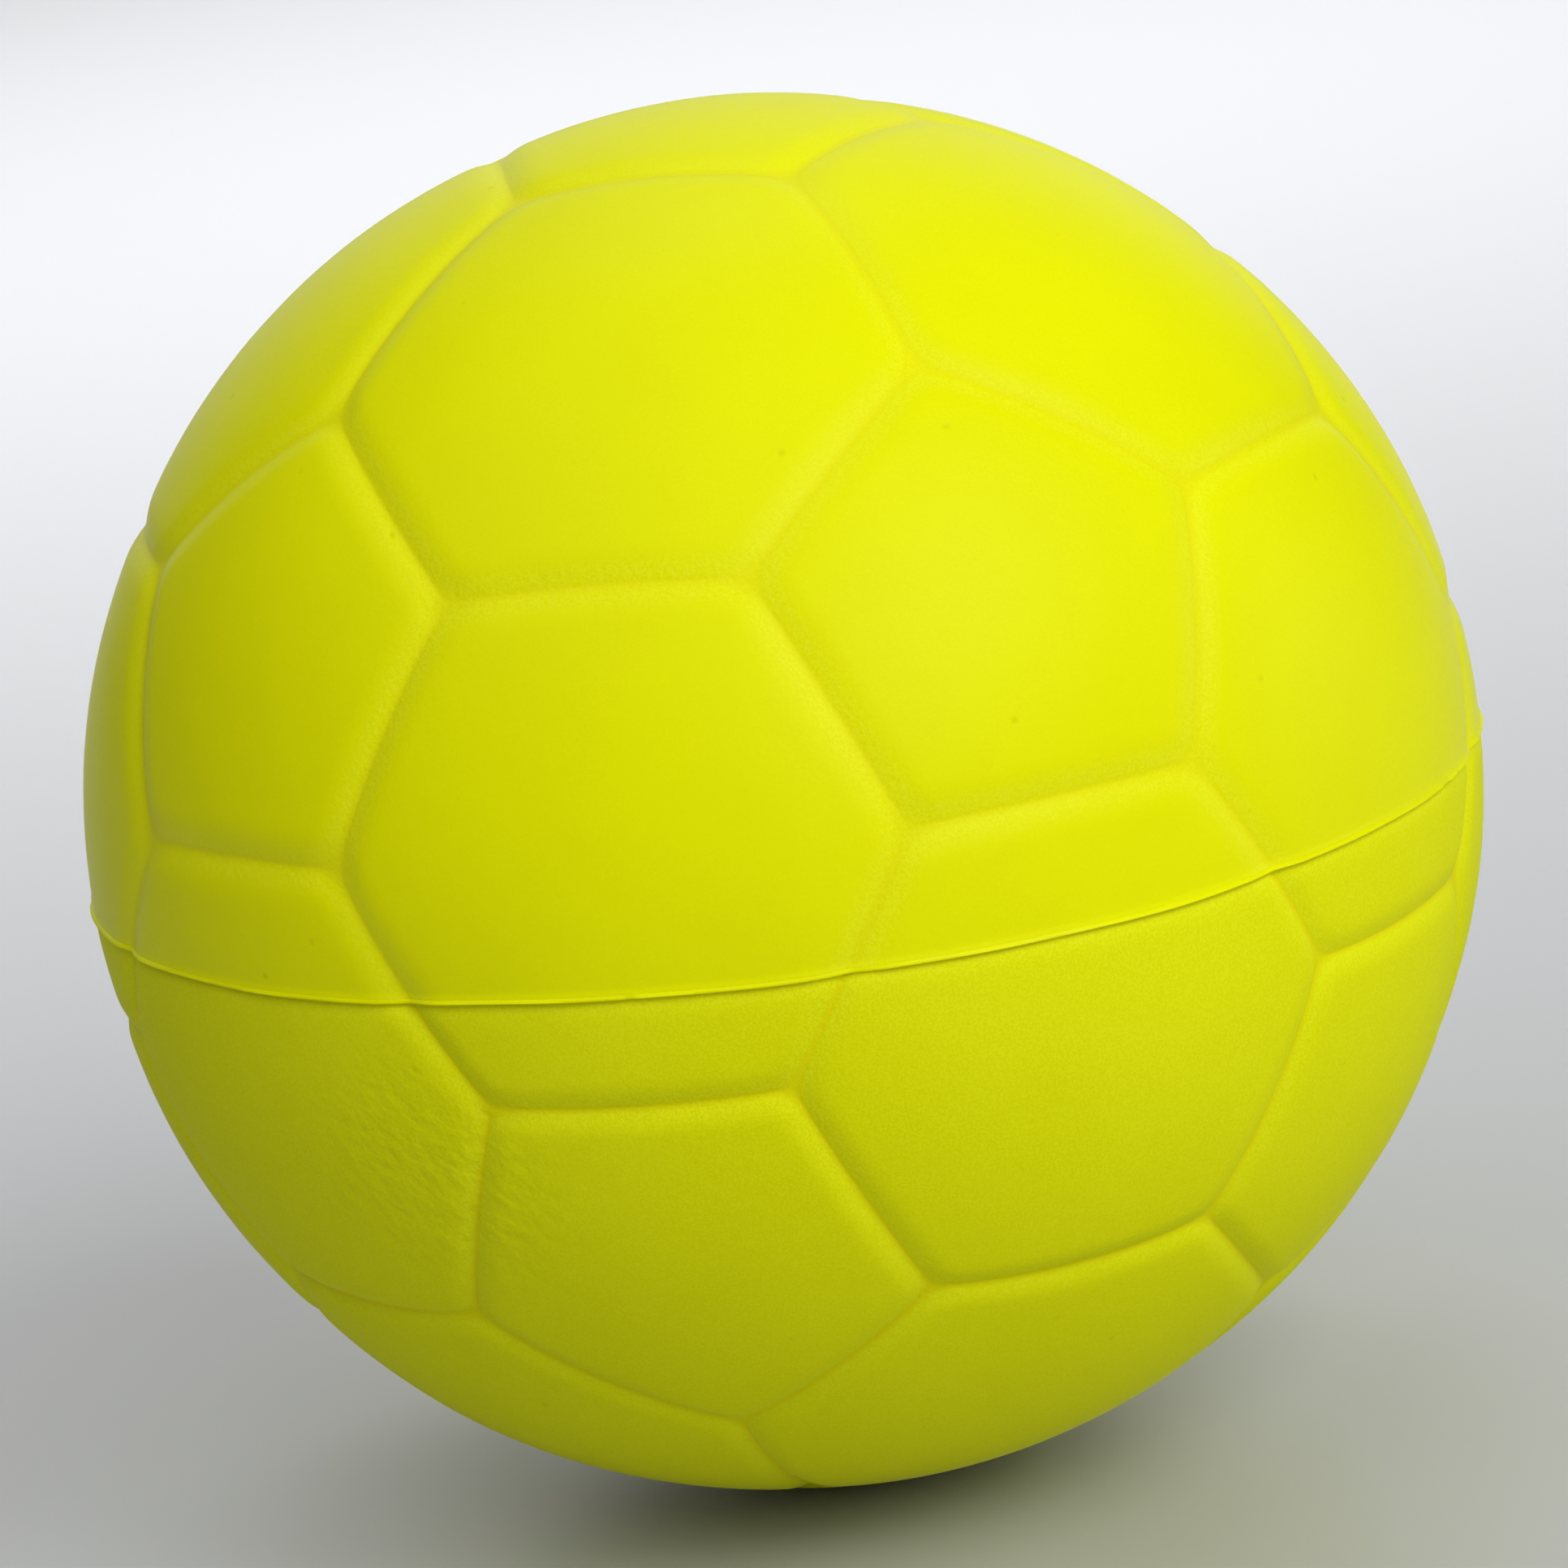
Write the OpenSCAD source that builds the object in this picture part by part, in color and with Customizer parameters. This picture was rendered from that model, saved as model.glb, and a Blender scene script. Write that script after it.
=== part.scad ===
// A foam squeeze ball with the seams of a stitched football moulded into its skin.
// It lies about its centre. +Z is the mould axis, through the middle of two
// opposite five-sided panels, and the two mould halves met in the plane z = 0.
// The five-sided panel nearest the front is centred on the plane x = 0.

/* [Ball] */
// Diameter of the ball, over the panels
ball_d = 63; // [55:0.5:75]
// Thickness of the dense skin around the foam
skin_t = 1.8; // [1.4:0.1:3]
// Gap between the skin and the solid of softer foam inside it
core_gap = 0.15; // [0.1:0.05:0.4]

/* [Moulded seams] */
// Width of the seam groove, from panel to panel
seam_w = 2.6; // [1.6:0.1:3.4]
// Depth of the seam groove at its middle
seam_depth = 0.6; // [0.3:0.05:1]
// Depth of the round dimple where three seams meet
dimple_depth = 0.8; // [0.8:0.05:1.2]

/* [Parting line] */
// Thickness of the web of foam that the mould halves pinched between them
web_t = 0.2; // [0.1:0.05:0.4]
// How far that web stands out of the ball as flash
flash_out = 0.2; // [0.1:0.05:0.5]

/* [Hidden] */
$fn = 96;

ball_r = ball_d / 2;
skin_r = ball_r - skin_t;
core_r = skin_r - core_gap;
// The seam cutter reaches this far over the ball, and this many degrees past each
// end of its seam, where the dimple takes its end away
cutter_over = 0.4;
cutter_past = 0.4;
cutter_half_w = seam_w / 2 * (seam_depth + cutter_over) / seam_depth;
dimple_r = 0.9;

// The panels are those of a truncated icosahedron: 12 with five sides, 20 with six.
// An icosahedron stood on one corner has its next five corners at this angle from
// the top, and each of its corners is cut off a third of the way along its edges.
FIFTHS = 5;
FIFTH = 360 / FIFTHS;
RING_ANGLE = atan(2);
FRONT = -90;

function on_ball(from_top, around) =
    [sin(from_top) * cos(around), sin(from_top) * sin(around), cos(from_top)];
function unit(v) = v / norm(v);
// A panel corner: a third of the way along the icosahedron's edge from one corner
function third(from, to) = unit(2 * from + to);

// Corners of the icosahedron
TOP = [0, 0, 1];
function upper(k) = on_ball(RING_ANGLE, FRONT + k * FIFTH);
function lower(k) = on_ball(180 - RING_ANGLE, FRONT + (k + 0.5) * FIFTH);

// The panel corners in one fifth of the upper half
A = third(TOP, upper(0));
B = third(upper(0), TOP);
C_LEFT = third(upper(0), upper(-1));
C_RIGHT = third(upper(0), upper(1));
D_LEFT = third(upper(0), lower(-1));
D_RIGHT = third(upper(0), lower(0));
CORNERS = [A, B, C_LEFT, C_RIGHT, D_LEFT, D_RIGHT];

// The seams there, as pairs of corners. The last two run on over the parting line
// to a corner in the lower half.
SEAMS = [
    [A, third(TOP, upper(1))],
    [A, B],
    [B, C_LEFT],
    [B, C_RIGHT],
    [C_RIGHT, third(upper(1), upper(0))],
    [C_LEFT, D_LEFT],
    [C_RIGHT, D_RIGHT],
    [D_LEFT, D_RIGHT],
    [D_LEFT, third(lower(-1), upper(0))],
    [D_RIGHT, third(lower(0), upper(0))]
];
CUTS_IN_FIFTH = len(SEAMS) + len(CORNERS);

// Half a ring of foam, from one radius to another, above the web
module half_shell(inner_r, outer_r) {
    rotate_extrude()
        intersection() {
            difference() {
                circle(r = outer_r);
                circle(r = inner_r);
            }
            translate([0, web_t / 2])
                square(2 * outer_r);
        }
}

// The V that one seam takes out of the ball, along the great circle between two corners
module seam_cutter(from, to) {
    pole = unit(cross(from, to));
    across = cross(pole, from);
    arc = acos(from * to);
    multmatrix([for (i = [0 : 2]) [from[i], across[i], pole[i], 0]])
        rotate([0, 0, -cutter_past])
            rotate_extrude(angle = arc + 2 * cutter_past)
                polygon([
                    [ball_r - seam_depth, 0],
                    [ball_r + cutter_over, -cutter_half_w],
                    [ball_r + cutter_over, cutter_half_w]
                ]);
}

// The dimple where three seams meet at a panel corner
module corner_dimple(corner) {
    translate(corner * (ball_r - dimple_depth + dimple_r))
        sphere(r = dimple_r);
}

module cutter(i) {
    if (i < len(SEAMS))
        seam_cutter(SEAMS[i][0], SEAMS[i][1]);
    else
        corner_dimple(CORNERS[i - len(SEAMS)]);
}

// The half shell after this many of its cuts, which are made one after another
module cut_half(count) {
    if (count == 0)
        half_shell(skin_r, ball_r);
    else
        difference() {
            cut_half(count - 1);
            rotate([0, 0, (count - 1) % FIFTHS * FIFTH])
                cutter(floor((count - 1) / FIFTHS));
        }
}

module moulded_half() {
    cut_half(FIFTHS * CUTS_IN_FIFTH);
}

module foam_core() {
    color("khaki")
        sphere(r = core_r);
}

module skin_upper() {
    color("gold")
        moulded_half();
}

// The panels look the same from below, so the lower half is the upper one turned over
module skin_lower() {
    color("gold")
        rotate([180, 0, 0])
            moulded_half();
}

module parting_flash() {
    color("yellow")
        rotate_extrude()
            translate([skin_r, -web_t / 2])
                square([skin_t + flash_out, web_t]);
}

foam_core();
skin_upper();
skin_lower();
parting_flash();
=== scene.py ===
import math

import bmesh
import bpy
import numpy as np
from mathutils import Matrix, Vector, noise


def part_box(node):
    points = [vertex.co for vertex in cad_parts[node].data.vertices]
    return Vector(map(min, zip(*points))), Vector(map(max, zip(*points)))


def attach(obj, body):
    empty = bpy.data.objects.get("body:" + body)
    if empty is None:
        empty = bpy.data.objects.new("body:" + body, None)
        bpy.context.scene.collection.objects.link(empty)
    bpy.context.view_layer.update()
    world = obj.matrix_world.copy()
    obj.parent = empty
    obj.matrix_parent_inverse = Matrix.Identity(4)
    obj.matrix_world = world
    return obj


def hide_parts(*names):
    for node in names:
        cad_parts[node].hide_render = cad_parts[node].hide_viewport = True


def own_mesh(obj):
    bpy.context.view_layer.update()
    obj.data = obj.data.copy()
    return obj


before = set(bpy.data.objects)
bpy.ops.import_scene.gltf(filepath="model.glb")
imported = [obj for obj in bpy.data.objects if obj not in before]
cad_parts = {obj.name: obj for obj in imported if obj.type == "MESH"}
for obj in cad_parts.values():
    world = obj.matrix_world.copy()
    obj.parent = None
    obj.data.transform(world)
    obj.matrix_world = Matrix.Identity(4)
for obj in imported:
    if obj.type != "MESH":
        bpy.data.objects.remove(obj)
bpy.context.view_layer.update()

MM = 0.001

# ---------------------------------------------------------------- sizes from the frame

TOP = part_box("skin_upper")[1].z
WEB_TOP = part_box("skin_upper")[0].z
FLASH_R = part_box("parting_flash")[1].x
CORE_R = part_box("foam_core")[1].x
# The skins start this far outside the core
CORE_GAP = 0.15 * MM
SKIN_IN_R = CORE_R + CORE_GAP
BALL_R = TOP

# ---------------------------------------------------------------- the moulded shape

# Rings of panel corners in one mould half: degrees from the pole, and degrees to each
# side of the middle of the five-sided panel that they belong to. A is the polar panel's
# own ring, B is the side panel's top corner, C its shoulders and D its feet.
FIFTHS = 5
FIFTH = 360 / FIFTHS
# The middle of the front five-sided panel, round from +X
FRONT = -90
CORNER_A, CORNER_B, CORNER_C, CORNER_D = (19.7, 0), (44.1, 0), (59.7, 22.0), (80.5, 12.3)
# The lower mould half sat turned by this much against the upper one
LOWER_TWIST = -0.2

# A seam is a crease between two walls that round over onto the panels: (half width, depth).
# The upper mould half made it wider and shallower.
SEAM_UPPER = (1.40 * MM, 0.20 * MM)
SEAM_LOWER = (1.05 * MM, 0.25 * MM)
# The walls steepen towards the crease by this power, and the crease is rounded over this
# share of the half width
SEAM_CURVE = 1.6
SEAM_ROUNDING = 0.06
# Where three seams meet there is a shallow dimple
DIMPLE_DEPTH = 0.07 * MM
DIMPLE_R = 1.2 * MM
# A panel's middle stands this far above its edges
CROWN = 0.20 * MM
# Each kite from a panel's middle to a corner has this many cells a side, crowded towards
# the seams by this power
PANEL_CELLS = 20
CELL_CROWDING = 1.55

# The foam's own unevenness: a slow swell and a fine ripple, and seams that vary in depth
SWELL = 0.05 * MM
SWELL_SIZE = 9 * MM
RIPPLE = 0.012 * MM
RIPPLE_SIZE = 2.2 * MM
SEAM_VARIES = 0.10
SEAM_VARIES_SIZE = 14 * MM
# Each seed of the noise moves it by this much, in the noise's own cells
NOISE_STEP = (7.3, 3.1, 5.7)

# At the parting line the upper half's edge flares out and the lower half's is set back
LIP_OUT = 0.05 * MM
LIP_TALL = 0.16 * MM
LOWER_IN = 0.12 * MM
LOWER_TALL = 0.45 * MM
# The lower half's edge, set back under the upper half's lip, gets a seam's painted shade, by this share
RIM_SHADE = 0.95
# The mesh is cut at these heights over the rim, to carry the step
RIM_CUTS = [0.06 * MM, 0.12 * MM, 0.20 * MM, 0.32 * MM, 0.50 * MM, 0.75 * MM, 1.1 * MM]

# The parting line lies this far below the middle of the pattern. It isn't quite flat: it
# wanders a little, and the foam within reach of it goes with it.
PARTING_DROP = 0.30 * MM
WANDER = 0.028 * MM
WANDER_REACH = 1.5 * MM
# (waves round the ball, share of WANDER, phase)
WANDER_WAVES = ((2, 1.0, 1), (5, 1.0, 0), (11, 1.0, 2), (23, 0.5, 0))

# Rows of the dome that closes a skin's inside
DOME_ROWS = 14
SHARP_EDGE = math.radians(50)
# Two heights this close, in metres, are the same height
SAME = 1e-6


def unit(v):
    return v / np.linalg.norm(v, axis=-1, keepdims=True)


def on_ball(from_pole, around):
    """A point on the unit ball, at an angle from the pole and round from +X, in degrees."""
    p, a = math.radians(from_pole), math.radians(around)
    return np.array([math.sin(p) * math.cos(a), math.sin(p) * math.sin(a), math.cos(p)])


def corner(ring, fifth, side=1, below=False):
    """A panel corner on the unit ball.

    The half below the parting line is the same, upside down and turned by half a fifth.
    """
    from_pole, spread = ring
    around = FRONT + fifth * FIFTH + side * spread
    if below:
        return on_ball(180 - from_pole, around + FIFTH / 2)
    return on_ball(from_pole, around)


def panels():
    """The panels that reach into one mould half, each as its corners in order."""
    made = [[corner(CORNER_A, k) for k in range(FIFTHS)]]
    for k in range(FIFTHS):
        a, a_next = corner(CORNER_A, k), corner(CORNER_A, k + 1)
        b, b_next = corner(CORNER_B, k), corner(CORNER_B, k + 1)
        c_left, c_right, c_next = corner(CORNER_C, k, -1), corner(CORNER_C, k), corner(CORNER_C, k + 1, -1)
        d_left, d_right, d_next = corner(CORNER_D, k, -1), corner(CORNER_D, k), corner(CORNER_D, k + 1, -1)
        low_left, low_right = corner(CORNER_D, k, -1, True), corner(CORNER_D, k, 1, True)
        low_before = corner(CORNER_D, k - 1, 1, True)
        deep_left, deep_right = corner(CORNER_C, k, -1, True), corner(CORNER_C, k - 1, 1, True)
        made += [
            [a, b, c_right, c_next, b_next, a_next],
            [b, c_left, d_left, d_right, c_right],
            [c_right, d_right, low_left, low_right, d_next, c_next],
            [d_left, low_before, deep_right, deep_left, low_left, d_right],
        ]
    return [np.array(p) for p in made]


def grid_steps():
    """Steps from a panel's middle to its edge, crowded towards the edge."""
    t = np.linspace(0, 1, PANEL_CELLS + 1)
    return 1 - (1 - t) ** CELL_CROWDING


def panel_mesh(corners, seam_half_w, seam_depth):
    """Quads over one panel on the unit ball.

    Each point comes with its lift off the ball, in metres, and its share of the seam.
    """
    middle = unit(corners.sum(0))
    ahead = np.roll(corners, -1, 0)
    halfway = unit(corners + ahead)
    steps = grid_steps()
    s, t = np.meshgrid(steps, steps, indexing="ij")
    s, t = s[..., None], t[..., None]
    points, quads = [], []
    n = PANEL_CELLS + 1
    for i, c in enumerate(corners):
        before, after = halfway[i - 1], halfway[i]
        kite = (1 - s) * (1 - t) * middle + s * (1 - t) * after + s * t * c + (1 - s) * t * before
        first = len(points) * n * n
        points.append(unit(kite).reshape(-1, 3))
        at = first + np.arange(n * n).reshape(n, n)
        quads.append(np.stack([at[:-1, :-1], at[1:, :-1], at[1:, 1:], at[:-1, 1:]], -1).reshape(-1, 4))
    points, quads = np.concatenate(points), np.concatenate(quads)
    turn = np.cross(corners, ahead)
    inward = unit(turn) * np.sign((turn @ middle))[:, None]
    to_edge = np.arcsin(np.clip(points @ inward.T, -1, 1)) * BALL_R
    seam = 1 - np.prod(1 - seam_share(to_edge / seam_half_w), 1)
    corner_angle = np.arccos(corners[0] @ middle)
    from_middle = np.arccos(np.clip(points @ middle, -1, 1)) / corner_angle
    to_corner = np.arccos(np.clip((points @ corners.T).max(1), -1, 1)) * BALL_R
    dimple = DIMPLE_DEPTH * np.exp(-((to_corner / DIMPLE_R) ** 2))
    lift = CROWN * (1 - from_middle**2) * (1 - seam) - seam_depth * seam - dimple - CROWN
    moulded = np.stack([lift, seam], 1)
    if np.dot(np.cross(points[1] - points[0], points[n] - points[0]), middle) < 0:
        return points, quads, moulded
    return points, quads[:, ::-1], moulded


def seam_share(distance):
    """How much of the seam's depth there is at a distance from its middle, in half widths."""
    across = np.sqrt(distance**2 + SEAM_ROUNDING**2) - SEAM_ROUNDING
    return np.clip(1 - across, 0, 1) ** SEAM_CURVE


def welded(meshes):
    """Joins the panels at their shared points, where their moulded values are averaged."""
    points = np.concatenate([m[0] for m in meshes])
    first = np.cumsum([0] + [len(m[0]) for m in meshes[:-1]])
    quads = np.concatenate([m[1] + f for m, f in zip(meshes, first)])
    moulded = np.concatenate([m[2] for m in meshes])
    _, at, owner = np.unique(np.round(points, 7), axis=0, return_index=True, return_inverse=True)
    owner = owner.ravel()
    lift, seam = [np.bincount(owner, column) / np.bincount(owner) for column in moulded.T]
    return points[at], owner[quads], lift, seam


def rough(points, size, seed):
    """Smooth noise from -1 to 1 at each point."""
    offset = Vector([seed * step for step in NOISE_STEP])
    return np.array([noise.noise(Vector(p) / size + offset) for p in points])


def skin_half(name, lower):
    """One mould half's skin, in place, and its edge at the parting line as (angle round, distance out)."""
    seam_size = SEAM_LOWER if lower else SEAM_UPPER
    points, quads, lift, seam = welded([panel_mesh(p, *seam_size) for p in panels()])
    mesh = bpy.data.meshes.new(name)
    mesh.from_pydata(points * BALL_R, [], quads.tolist())
    bm = bmesh.new()
    bm.from_mesh(mesh)
    layer = bm.verts.layers.float.new("lift")
    seam_layer = bm.verts.layers.float.new("seam")
    for v, h, share in zip(bm.verts, lift, seam):
        v[layer] = h
        v[seam_layer] = share
    rim_z = WEB_TOP + (PARTING_DROP if lower else -PARTING_DROP)
    cut_level(bm, rim_z, clear_inner=True)
    for tall in RIM_CUTS:
        cut_level(bm, rim_z + tall)
    rim = [e for e in bm.edges if e.is_boundary]
    loop = ordered(rim)
    shape_outside(bm, layer, rim_z, lower)
    # Painted shade along the lower half's edge under the lip, carried in the seam share
    if lower:
        for v in bm.verts:
            shade = RIM_SHADE * math.exp(-(((v.co.z - rim_z) / LOWER_TALL) ** 2))
            v[seam_layer] = max(v[seam_layer], shade)
    close_inside(bm, loop, rim_z)
    bmesh.ops.recalc_face_normals(bm, faces=bm.faces[:])
    if lower:
        turn = Matrix.Rotation(math.radians(LOWER_TWIST), 4, "Z") @ Matrix.Rotation(math.pi, 4, "X")
        bmesh.ops.transform(bm, matrix=turn, verts=bm.verts[:])
    edge = np.array(sorted((math.atan2(v.co.y, v.co.x), math.hypot(v.co.x, v.co.y)) for v in loop))
    for v in bm.verts:
        v.co.z += wander(math.atan2(v.co.y, v.co.x), v.co.z)
    bm.to_mesh(mesh)
    bm.free()
    return smooth_object(name, mesh), edge


def cut_level(bm, z, **options):
    """Cuts the mesh along a level plane."""
    everything = bm.verts[:] + bm.edges[:] + bm.faces[:]
    bmesh.ops.bisect_plane(bm, geom=everything, dist=SAME, plane_co=(0, 0, z), plane_no=(0, 0, 1), **options)


def smooth_object(name, mesh):
    """Puts a mesh in the scene, shaded smooth except over its sharp edges."""
    mesh.shade_smooth()
    mesh.set_sharp_from_angle(angle=SHARP_EDGE)
    obj = bpy.data.objects.new(name, mesh)
    bpy.context.collection.objects.link(obj)
    return obj


def wander(around, z):
    """How far the parting line's wander moves a point up."""
    waves = sum(share * np.sin(count * around + phase) for count, share, phase in WANDER_WAVES)
    return WANDER * waves * np.exp(-(((z + PARTING_DROP) / WANDER_REACH) ** 2))


def shape_outside(bm, layer, rim_z, lower):
    """Lifts each point of the outside by the moulded shape, the foam's own unevenness and the rim's step."""
    seed = 2 if lower else 1
    co = np.array([v.co for v in bm.verts])
    lift = np.array([v[layer] for v in bm.verts])
    lift = lift * (1 + SEAM_VARIES * rough(co, SEAM_VARIES_SIZE, seed + 4))
    lift += SWELL * rough(co, SWELL_SIZE, seed) + RIPPLE * rough(co, RIPPLE_SIZE, seed + 2)
    tall = co[:, 2] - rim_z
    if lower:
        lift -= LOWER_IN * np.exp(-((tall / LOWER_TALL) ** 2))
    else:
        lift += LIP_OUT * np.exp(-((tall / LIP_TALL) ** 2))
    for v, h in zip(bm.verts, lift):
        at_rim = v.co.z - rim_z < SAME
        v.co *= 1 + h / BALL_R
        if at_rim:
            v.co.z = rim_z


def close_inside(bm, loop, rim_z):
    """Runs a flat rim in from the outside's edge, and a dome on from that to the pole."""
    rows = [loop]
    start = math.acos(rim_z / SKIN_IN_R)
    for r in range(DOME_ROWS):
        from_pole = start * (1 - r / DOME_ROWS)
        row = []
        for v in loop:
            around = math.atan2(v.co.y, v.co.x)
            across = SKIN_IN_R * math.sin(from_pole)
            row.append(bm.verts.new((across * math.cos(around), across * math.sin(around),
                                     SKIN_IN_R * math.cos(from_pole))))
        rows.append(row)
    pole = bm.verts.new((0, 0, SKIN_IN_R))
    n = len(loop)
    for a, b in zip(rows, rows[1:]):
        for i in range(n):
            bm.faces.new((a[i], a[(i + 1) % n], b[(i + 1) % n], b[i]))
    for i in range(n):
        bm.faces.new((rows[-1][i], rows[-1][(i + 1) % n], pole))


def ordered(edges):
    """The points of a closed loop of edges, in order round it."""
    here, loop = edges[0].verts[0], []
    left = set(edges)
    while left:
        loop.append(here)
        edge = next(e for e in here.link_edges if e in left)
        left.discard(edge)
        here = edge.other_vert(here)
    return loop


# ---------------------------------------------------------------- flash and core

FLASH_STEPS = 1400
# How far the fin stands out, and how little of it is left where it is torn
FLASH_REACH = 0.09 * MM
FLASH_LEAST = 0.01 * MM
# The fin's section is laid out in steps of this
FLASH_EDGE = 0.04 * MM
# (waves round the ball, share of FLASH_REACH)
FLASH_WAVES = ((3, 0.25), (7, 0.20), (19, 0.15), (41, 0.10))
# Tears in the fin: how many, their half widths in radians and their depths as a share of it
TEARS = 18
TEAR_WIDE = (0.004, 0.02)
TEAR_DEEP = (0.4, 1.0)
TEAR_SEED = 5


def flash_reach(around, rng):
    """How far the fin stands out past the upper half's edge all round, with its torn places."""
    out = np.full(len(around), FLASH_REACH)
    for waves, share in FLASH_WAVES:
        out += share * FLASH_REACH * np.sin(waves * around + rng.uniform(0, 2 * math.pi))
    for _ in range(TEARS):
        at, wide, deep = rng.uniform(0, 2 * math.pi), rng.uniform(*TEAR_WIDE), rng.uniform(*TEAR_DEEP)
        apart = np.angle(np.exp(1j * (around - at)))
        out -= deep * FLASH_REACH * np.exp(-((apart / wide) ** 4))
    return np.maximum(out, FLASH_LEAST)


def flash_ring(name, upper_edge, lower_edge):
    """The web of foam between the halves, which flares out past the upper half's edge as a fin."""
    rng = np.random.default_rng(TEAR_SEED)
    around = np.linspace(-math.pi, math.pi, FLASH_STEPS, endpoint=False)
    above = np.interp(around, *upper_edge.T, period=2 * math.pi)
    below = np.interp(around, *lower_edge.T, period=2 * math.pi)
    out = np.minimum(np.maximum(above, below) + flash_reach(around, rng), FLASH_R)
    inside = np.full(FLASH_STEPS, SKIN_IN_R)
    top = WEB_TOP - PARTING_DROP
    foot = -WEB_TOP - PARTING_DROP
    # (distance out, height) round the section, from the bottom of the inner edge
    section = [
        (inside, foot),
        (np.minimum(above, below) - FLASH_EDGE, foot),
        (out - 0.5 * FLASH_EDGE, foot + 0.5 * FLASH_EDGE),
        (out, foot + 1.5 * FLASH_EDGE),
        ((above + 2 * out) / 3, foot + 3 * FLASH_EDGE),
        (above, top),
        (inside, top),
    ]
    along_x, along_y = np.cos(around), np.sin(around)
    rows = [np.stack([r * along_x, r * along_y, z + wander(around, z)], -1) for r, z in section]
    verts = np.stack(rows, 1)
    n, m = FLASH_STEPS, len(section)
    at = np.arange(n * m).reshape(n, m)
    ahead = np.roll(at, -1, 0)
    quads = np.stack([at, ahead, np.roll(ahead, -1, 1), np.roll(at, -1, 1)], -1).reshape(-1, 4)
    mesh = bpy.data.meshes.new(name)
    mesh.from_pydata(verts.reshape(-1, 3), [], quads.tolist())
    return smooth_object(name, mesh)


# The core's open cells: their size, how deep they are cut, and how far from a cell's middle,
# as a share of its size, the cut reaches
CELL_SIZE = 1.6 * MM
CELL_DEPTH = 0.25 * MM
CELL_REACH = 0.6


def foam_ball(name):
    """The core as foam looks where the skin is cut off it: a ball pitted all over by open cells."""
    bm = bmesh.new()
    bmesh.ops.create_icosphere(bm, subdivisions=6, radius=CORE_R)
    for v in bm.verts:
        from_cell = noise.voronoi(v.co / CELL_SIZE)[0][0]
        v.co *= 1 - CELL_DEPTH * max(0, CELL_REACH - from_cell) / CORE_R
    mesh = bpy.data.meshes.new(name)
    bm.to_mesh(mesh)
    bm.free()
    return smooth_object(name, mesh)


# ---------------------------------------------------------------- materials


def node(tree, kind, **values):
    """A new node, with its inputs or its own settings set by name."""
    made = tree.nodes.new(kind)
    for key, value in values.items():
        if key in made.inputs:
            made.inputs[key].default_value = value
        else:
            setattr(made, key, value)
    return made


def calc(tree, operation, a, b):
    """A maths node on two inputs, each a value or another node's output."""
    made = tree.nodes.new("ShaderNodeMath")
    made.operation = operation
    for at, value in enumerate((a, b)):
        if isinstance(value, bpy.types.NodeSocket):
            tree.links.new(value, made.inputs[at])
        else:
            made.inputs[at].default_value = value
    return made.outputs[0]


def blend(tree, share, a, b):
    """A colour from a, at share 0, to b, at share 1, each a colour or another node's output."""
    made = tree.nodes.new("ShaderNodeMix")
    made.data_type = "RGBA"
    colours = [socket for socket in made.inputs if socket.type == "RGBA"]
    tree.links.new(share, made.inputs[0])
    for socket, value in zip(colours, (a, b)):
        if isinstance(value, bpy.types.NodeSocket):
            tree.links.new(value, socket)
        else:
            socket.default_value = value
    return next(socket for socket in made.outputs if socket.type == "RGBA")


def fade(tree, value, start, end):
    """1 where value is under start, fading to 0 at end."""
    made = tree.nodes.new("ShaderNodeMapRange")
    made.interpolation_type = "SMOOTHSTEP"
    tree.links.new(value, made.inputs["Value"])
    made.inputs["From Min"].default_value = start
    made.inputs["From Max"].default_value = end
    made.inputs["To Min"].default_value = 1
    made.inputs["To Max"].default_value = 0
    return made.outputs[0]


def stretched(tree, place, along, times):
    """The place, changed so that a texture on it comes out this many times longer one way."""
    dot = node(tree, "ShaderNodeVectorMath", operation="DOT_PRODUCT")
    tree.links.new(place, dot.inputs[0])
    dot.inputs[1].default_value = along
    back = node(tree, "ShaderNodeVectorMath", operation="SCALE")
    back.inputs[0].default_value = along * (1 / times - 1)
    tree.links.new(dot.outputs["Value"], back.inputs["Scale"])
    moved = node(tree, "ShaderNodeVectorMath", operation="ADD")
    tree.links.new(place, moved.inputs[0])
    tree.links.new(back.outputs[0], moved.inputs[1])
    return moved.outputs[0]


# The foam's colour varies from pale to deep in each half
PALE, DEEP = (0.845, 0.875, 0.0, 1), (0.81, 0.83, 0.0, 1)
PALE_LOWER, DEEP_LOWER = (0.84, 0.875, 0.006, 1), (0.775, 0.80, 0.0, 1)
# The colours of the painted shade in a seam's crease, of the painted sheen on its walls, and of the painted
# shade in a pinhole
CREASE_SHADE, WALL_SHEEN, PIT_SHADE = (0.80, 0.73, 0.0, 1), (0.88, 0.90, 0.04, 1), (0.75, 0.745, 0.0, 1)
# How many features of each texture there are in a metre
GRAIN_SCALE, SPECK_SCALE, TINT_SCALE, PIT_SCALE, PEEL_SCALE = 4200.0, 9000.0, 90.0, 230.0, 1450.0
# Heights of the bumps, in millimetres
GRAIN_MM, WALL_GRAIN_MM, PEEL_MM, PIT_MM = 0.006, 0.016, 0.13, 0.025
# Values of the noises between which the specks and the tint go from full to none
SPECK_FADE = (0.35, 0.65)
TINT_FADE = (0.3, 0.7)
# How far from its cell's middle, as a share of the cell, a pinhole reaches
PIT_FADE = (0.0, 0.06)
# Shares of the seam's depth over which its walls begin and its crease sets in
WALL_FADE = (0.0, 0.5)
CREASE_FADE = (0.70, 0.95)
SHEEN, SHEEN_ROUGHNESS = 0.12, 0.12
# The middle of the one rough patch, like orange peel
PEEL_AT = (-25 * MM, -17 * MM, -9 * MM)
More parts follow.
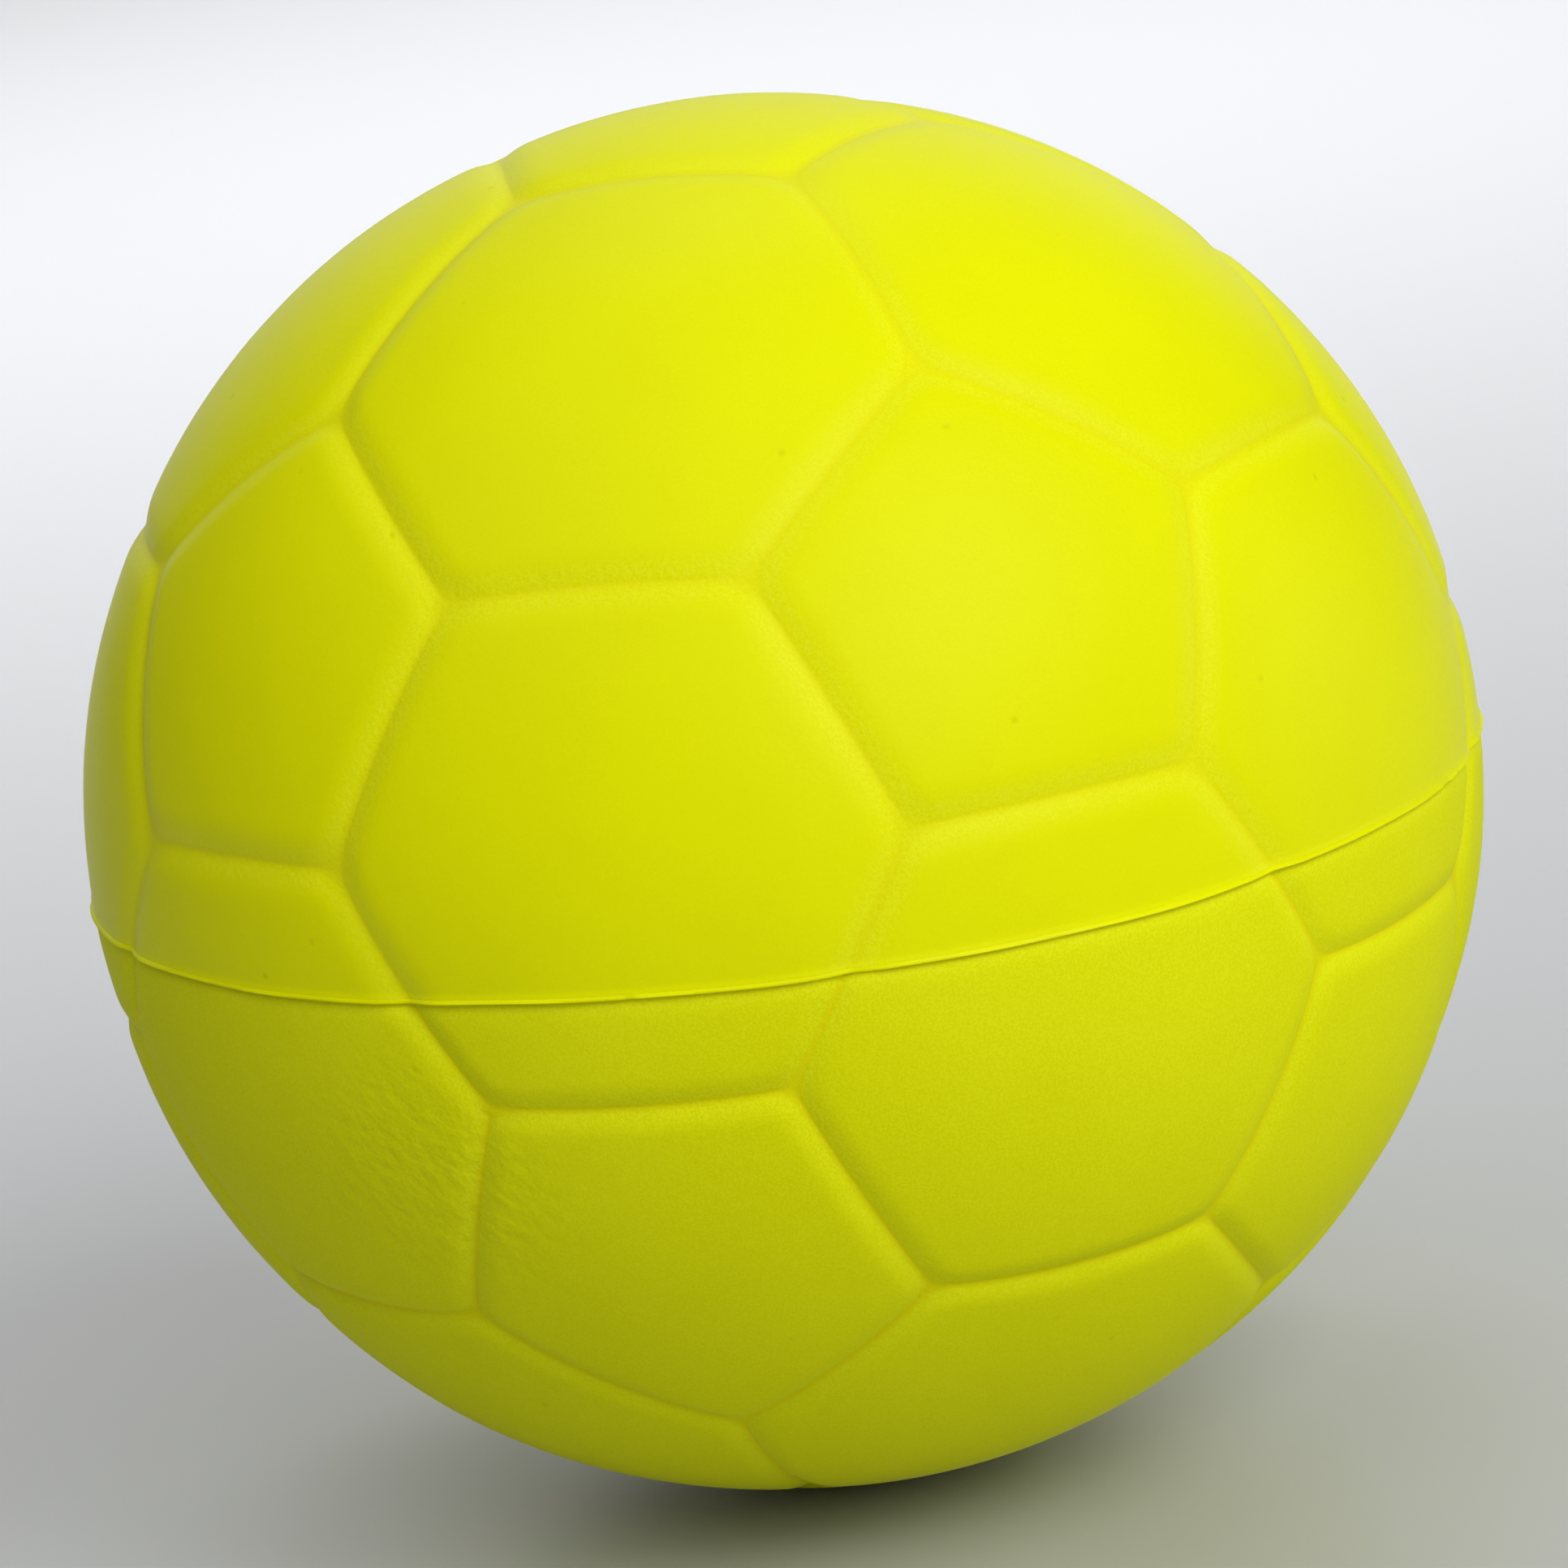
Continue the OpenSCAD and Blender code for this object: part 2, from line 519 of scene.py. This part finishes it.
# The rough patch is streaked this way, and its streaks are this much longer than wide
PEEL_ALONG = Vector((0.56, -0.83, -0.9)).normalized()
PEEL_STRETCH = 1.35
# The patch fades out between these distances from its middle
PEEL_FADE = (2.5 * MM, 8.5 * MM)


def skin_foam(name, pale, deep, roughness, gloss, mottle, painted_sheen, shade):
    """Satin, self-skinned foam: yellow, grained in the seams, with pinholes and one rough patch.

    mottle is how much of the colour's variation is fine speckle, frost how strongly the seams' walls are
    speckled with painted sheen, and shade how deep the painted shade in the creases is.
    """
    mat = bpy.data.materials.new(name)
    mat.use_nodes = True
    tree = mat.node_tree
    link = tree.links.new
    shader = tree.nodes["Principled BSDF"]
    shader.inputs["Roughness"].default_value = roughness
    shader.inputs["Specular IOR Level"].default_value = gloss
    shader.inputs["Sheen Weight"].default_value = SHEEN
    shader.inputs["Sheen Roughness"].default_value = SHEEN_ROUGHNESS
    place = node(tree, "ShaderNodeTexCoord").outputs["Object"]
    seam = node(tree, "ShaderNodeAttribute", attribute_name="seam").outputs["Fac"]
    wall = calc(tree, "SUBTRACT", 1.0, fade(tree, seam, *WALL_FADE))
    crease = calc(tree, "SUBTRACT", 1.0, fade(tree, seam, *CREASE_FADE))

    grain = node(tree, "ShaderNodeTexNoise", Scale=GRAIN_SCALE, Detail=2.0)
    link(place, grain.inputs["Vector"])
    speckle = node(tree, "ShaderNodeTexNoise", Scale=SPECK_SCALE, Detail=1.0)
    link(place, speckle.inputs["Vector"])
    specks = fade(tree, speckle.outputs["Fac"], *SPECK_FADE)
    tint = node(tree, "ShaderNodeTexNoise", Scale=TINT_SCALE, Detail=4.0)
    link(place, tint.inputs["Vector"])
    pits = node(tree, "ShaderNodeTexVoronoi", Scale=PIT_SCALE)
    link(place, pits.inputs["Vector"])
    pit = fade(tree, pits.outputs["Distance"], *PIT_FADE)
    fine = calc(tree, "MULTIPLY", specks, mottle)
    broad = calc(tree, "MULTIPLY", fade(tree, tint.outputs["Fac"], *TINT_FADE), 1 - mottle)
    colour = blend(tree, calc(tree, "ADD", fine, broad), deep, pale)
    # Painted sheen on the seams' walls, speckled like their grain
    painted_sheen_share = calc(tree, "MULTIPLY", calc(tree, "MULTIPLY", wall, specks), painted_sheen)
    colour = blend(tree, painted_sheen_share, colour, WALL_SHEEN)
    # Painted shade in the seams' creases
    colour = blend(tree, calc(tree, "MULTIPLY", crease, shade), colour, CREASE_SHADE)
    # Painted shade in the pinholes
    link(blend(tree, pit, colour, PIT_SHADE), shader.inputs["Base Color"])

    peel = node(tree, "ShaderNodeTexNoise", Scale=PEEL_SCALE, Detail=2.0)
    link(stretched(tree, place, PEEL_ALONG, PEEL_STRETCH), peel.inputs["Vector"])
    apart = node(tree, "ShaderNodeVectorMath", operation="DISTANCE")
    link(place, apart.inputs[0])
    apart.inputs[1].default_value = PEEL_AT
    patch = fade(tree, apart.outputs["Value"], *PEEL_FADE)
    coarse = calc(tree, "ADD", GRAIN_MM * (1 + mottle), calc(tree, "MULTIPLY", wall, WALL_GRAIN_MM))
    height = calc(tree, "MULTIPLY", grain.outputs["Fac"], coarse)
    rough_patch = calc(tree, "MULTIPLY", calc(tree, "MULTIPLY", peel.outputs["Fac"], patch), PEEL_MM)
    height = calc(tree, "ADD", height, rough_patch)
    height = calc(tree, "SUBTRACT", height, calc(tree, "MULTIPLY", pit, PIT_MM))
    bump = node(tree, "ShaderNodeBump", Strength=1.0, Distance=MM)
    link(height, bump.inputs["Height"])
    link(bump.outputs["Normal"], shader.inputs["Normal"])
    return mat


# The core: cells in a metre, the painted shade in the cells' hollows and the colour between them, and the
# bump
CORE_SCALE = 1400.0
CELL_SHADE_COLOUR, CELL_WALL_COLOUR = (0.55, 0.50, 0.10, 1), (0.84, 0.80, 0.30, 1)
CELL_BUMP, CELL_BUMP_HEIGHT = 0.6, 0.3 * MM
CORE_ROUGHNESS = 0.9


def core_foam():
    """Matt, open-celled foam, with painted shade in the cells' hollows."""
    mat = bpy.data.materials.new("core_foam")
    mat.use_nodes = True
    tree = mat.node_tree
    link = tree.links.new
    shader = tree.nodes["Principled BSDF"]
    shader.inputs["Roughness"].default_value = CORE_ROUGHNESS
    place = node(tree, "ShaderNodeTexCoord")
    cells = node(tree, "ShaderNodeTexVoronoi", Scale=CORE_SCALE)
    link(place.outputs["Object"], cells.inputs["Vector"])
    # Painted shade: the cells' middles, their hollows, are darker
    ramp = node(tree, "ShaderNodeValToRGB")
    ramp.color_ramp.elements[0].color = CELL_SHADE_COLOUR
    ramp.color_ramp.elements[1].color = CELL_WALL_COLOUR
    link(cells.outputs["Distance"], ramp.inputs["Fac"])
    link(ramp.outputs["Color"], shader.inputs["Base Color"])
    bump = node(tree, "ShaderNodeBump", Strength=CELL_BUMP, Distance=CELL_BUMP_HEIGHT)
    link(cells.outputs["Distance"], bump.inputs["Height"])
    link(bump.outputs["Normal"], shader.inputs["Normal"])
    return mat


# ---------------------------------------------------------------- the pieces

upper, upper_edge = skin_half("upper_skin", lower=False)
lower, lower_edge = skin_half("lower_skin", lower=True)
flash = flash_ring("flash_fin", upper_edge, lower_edge)
core = foam_ball("inner_foam")

glossy = skin_foam(
    "skin_foam_upper", PALE, DEEP,
    roughness=0.40, gloss=0.055, mottle=0.35, painted_sheen=0.25, shade=0.3,
)
matt = skin_foam(
    "skin_foam_lower", PALE_LOWER, DEEP_LOWER,
    roughness=0.65, gloss=0.045, mottle=0.65, painted_sheen=0.15, shade=0.55,
)
for piece, finish in ((upper, glossy), (lower, matt), (flash, glossy)):
    piece.data.materials.append(finish)
core.data.materials.append(core_foam())

# Each piece hangs on its half's body and takes the place of its part from model.glb, which is hidden
for piece, body, cad_node, foot in (
    (upper, "upper_half", "skin_upper", BALL_R),
    (lower, "lower_half", "skin_lower", -BALL_R),
    (flash, "lower_half", "parting_flash", -BALL_R),
    (core, "lower_half", "foam_core", -BALL_R),
):
    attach(piece, body)
    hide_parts(cad_node)
    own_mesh(piece)

# ---------------------------------------------------------------- floor, light and camera

# The camera: degrees round from the front, degrees up and degrees of roll
CAMERA_AROUND = -21.4
CAMERA_UP = 13.7
CAMERA_ROLL = 7.8
CAMERA_FAR = 10.6 * BALL_R
# The ball's width as a share of the picture's, and how far its middle is off the picture's
BALL_SHARE = 0.894
CAMERA_SHIFT = 0.0052
SENSOR_MM = 36
NEAREST = 0.01

FLOOR_SIZE = 6
FLOOR_COLOUR = (0.49, 0.50, 0.52, 1)
# The floor is smooth enough to pick up the backdrop's light where it is seen at a low angle
FLOOR_ROUGHNESS = 0.4
FLOOR_GLOSS = 0.8


def floor():
    """A plain pale floor, under the ball's lowest point."""
    bpy.ops.mesh.primitive_plane_add(size=FLOOR_SIZE, location=(0, 0, -TOP))
    plane = bpy.context.object
    plane.name = "floor"
    mat = bpy.data.materials.new("floor")
    mat.use_nodes = True
    shader = mat.node_tree.nodes["Principled BSDF"]
    shader.inputs["Base Color"].default_value = FLOOR_COLOUR
    shader.inputs["Roughness"].default_value = FLOOR_ROUGHNESS
    shader.inputs["Specular IOR Level"].default_value = FLOOR_GLOSS
    plane.data.materials.append(mat)


def direction(around, up):
    """The way out from the ball, in degrees round from the front and degrees up."""
    a, e = math.radians(around), math.radians(up)
    return Vector((math.sin(a) * math.cos(e), -math.cos(a) * math.cos(e), math.sin(e)))


def disk_light(name, size, power):
    """A round, soft light, which still has to be placed."""
    light = bpy.data.lights.new(name, "AREA")
    light.shape = "DISK"
    light.size = size
    light.energy = power
    lamp = bpy.data.objects.new(name, light)
    bpy.context.collection.objects.link(lamp)
    return lamp


def softbox(name, around, up, far, size, power):
    """A round, soft light that faces the ball."""
    lamp = disk_light(name, size, power)
    lamp.location = direction(around, up) * far
    lamp.rotation_euler = direction(around, up).to_track_quat("Z", "Y").to_euler()


def floor_light():
    """Lifts the floor behind the ball and hardly touches the ball itself."""
    lamp = disk_light("floor_light", FLOOR_LIGHT_SIZE, FLOOR_LIGHT_WATTS)
    lamp.data.spread = FLOOR_LIGHT_SPREAD
    lamp.location = direction(CAMERA_AROUND + 180, 0) * FLOOR_LIGHT_BEHIND
    lamp.location.z = FLOOR_LIGHT_UP


def camera():
    """The photographed view, from a distance at which the ball fills its share of the picture."""
    data = bpy.data.cameras.new("camera")
    data.sensor_width = SENSOR_MM
    far = CAMERA_FAR / BALL_R
    data.lens = data.sensor_width * BALL_SHARE / 2 * math.sqrt(far**2 - 1)
    data.shift_y = CAMERA_SHIFT
    data.clip_start = NEAREST
    cam = bpy.data.objects.new("camera", data)
    bpy.context.collection.objects.link(cam)
    back = direction(CAMERA_AROUND, CAMERA_UP)
    right = Vector((math.cos(math.radians(CAMERA_AROUND)), math.sin(math.radians(CAMERA_AROUND)), 0))
    level = back.cross(right)
    roll = math.radians(CAMERA_ROLL)
    x = math.cos(roll) * right - math.sin(roll) * level
    y = math.sin(roll) * right + math.cos(roll) * level
    cam.matrix_world = Matrix.Translation(back * CAMERA_FAR) @ Matrix((x, y, back)).transposed().to_4x4()
    bpy.context.scene.camera = cam


# name, degrees round from the front, degrees up, distance, width, watts
SOFTBOXES = [
    ("key", 26, 42, 1.4, 0.9, 8.2),
    ("front", 0, 29, 1.4, 0.9, 6.2),
    ("left", -62, 62, 1.4, 1.6, 6.3),
    ("side", 72, 2, 1.4, 0.9, 3.5),
    ("backdrop", 158.6, 14, 1.6, 1.9, 7.0),
]
# The floor's own light hangs behind the ball, this far back and up, and shines straight down
FLOOR_LIGHT_BEHIND, FLOOR_LIGHT_UP = 0.42, 0.45
FLOOR_LIGHT_SIZE = 0.5
FLOOR_LIGHT_SPREAD = math.radians(80)
FLOOR_LIGHT_WATTS = 1.1
SKY = 0.07


def sky():
    """Even, weak white light from all round."""
    world = bpy.data.worlds.new("studio")
    bpy.context.scene.world = world
    world.use_nodes = True
    background = world.node_tree.nodes["Background"]
    background.inputs["Color"].default_value = (1, 1, 1, 1)
    background.inputs["Strength"].default_value = SKY


floor()
for box in SOFTBOXES:
    softbox(*box)
floor_light()
camera()
sky()
bpy.context.scene.view_settings.view_transform = "Standard"
